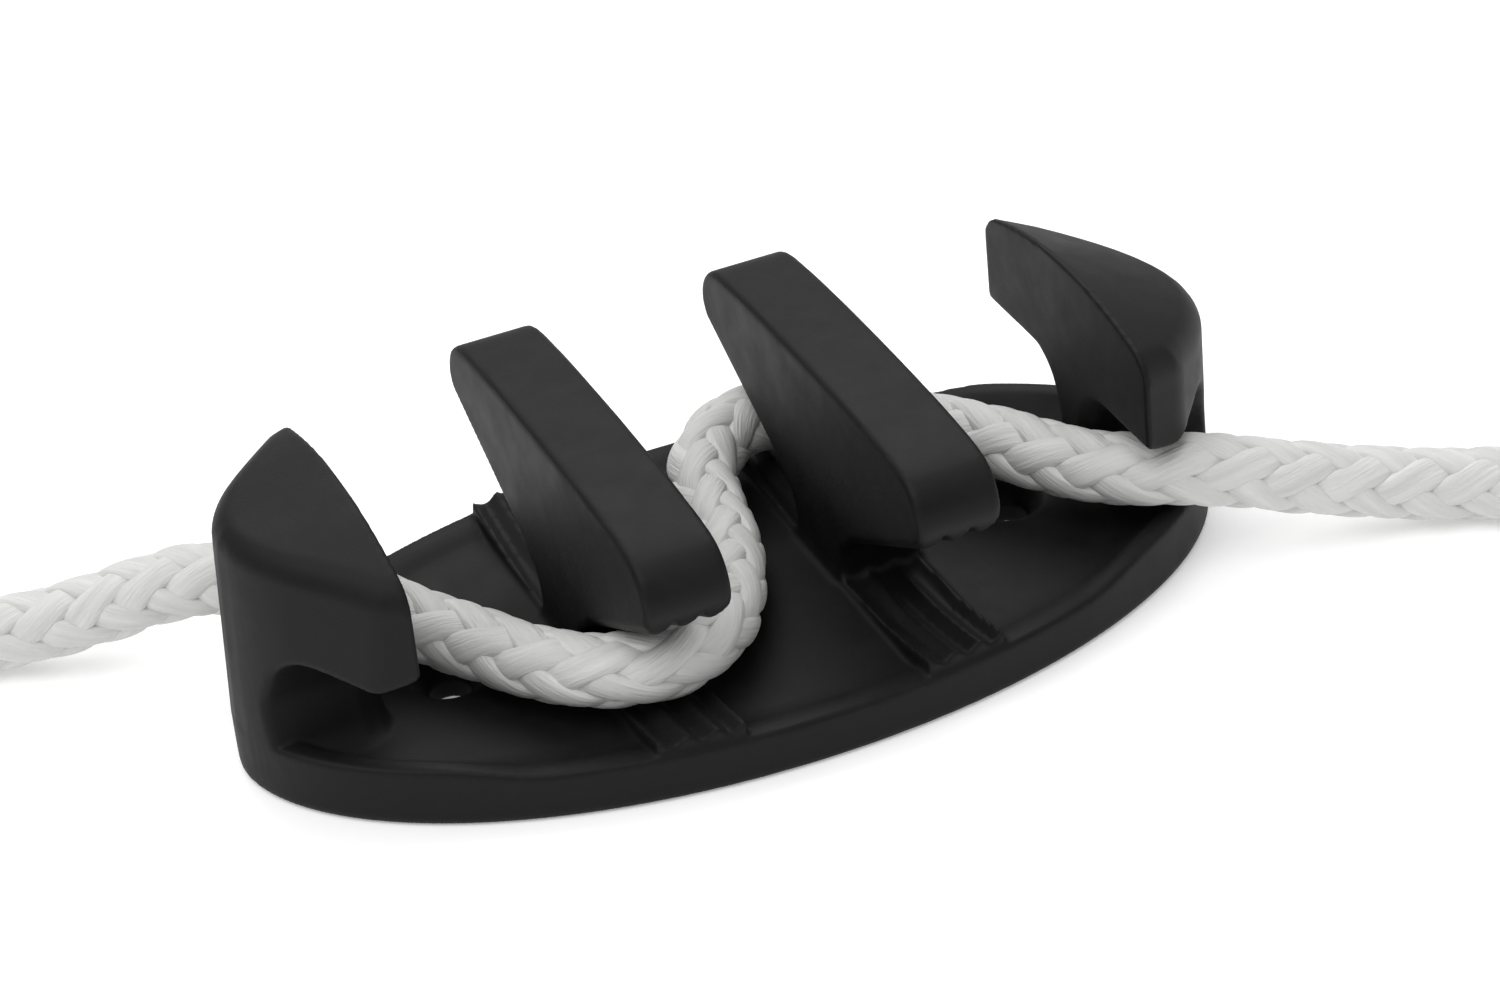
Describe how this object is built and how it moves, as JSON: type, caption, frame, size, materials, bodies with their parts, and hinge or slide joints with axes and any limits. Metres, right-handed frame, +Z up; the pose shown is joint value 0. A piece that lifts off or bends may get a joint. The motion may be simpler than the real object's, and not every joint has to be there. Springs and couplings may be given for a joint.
{
  "type": "zig-zag rope cleat",
  "caption": "Low oval rope cleat in black nylon whose toothed horns grip a white braided line that is woven from side to side between them.",
  "frame": {"origin": "centre of the flat underside of the oval base", "axes": "+X along the base towards the right-hand end horn, +Y towards the back, +Z up out of the deck"},
  "size_m": [0.146, 0.0608, 0.0252],
  "materials": {
    "nylon": "satin moulded",
    "braid": "woven, matt"
  },
  "bodies": {
    "root": {"base_plate": "nylon", "end_horn_left": "nylon", "inner_horn_left": "nylon", "inner_horn_right": "nylon", "end_horn_right": "nylon", "rope": "braid"}
  },
  "joints": []
}
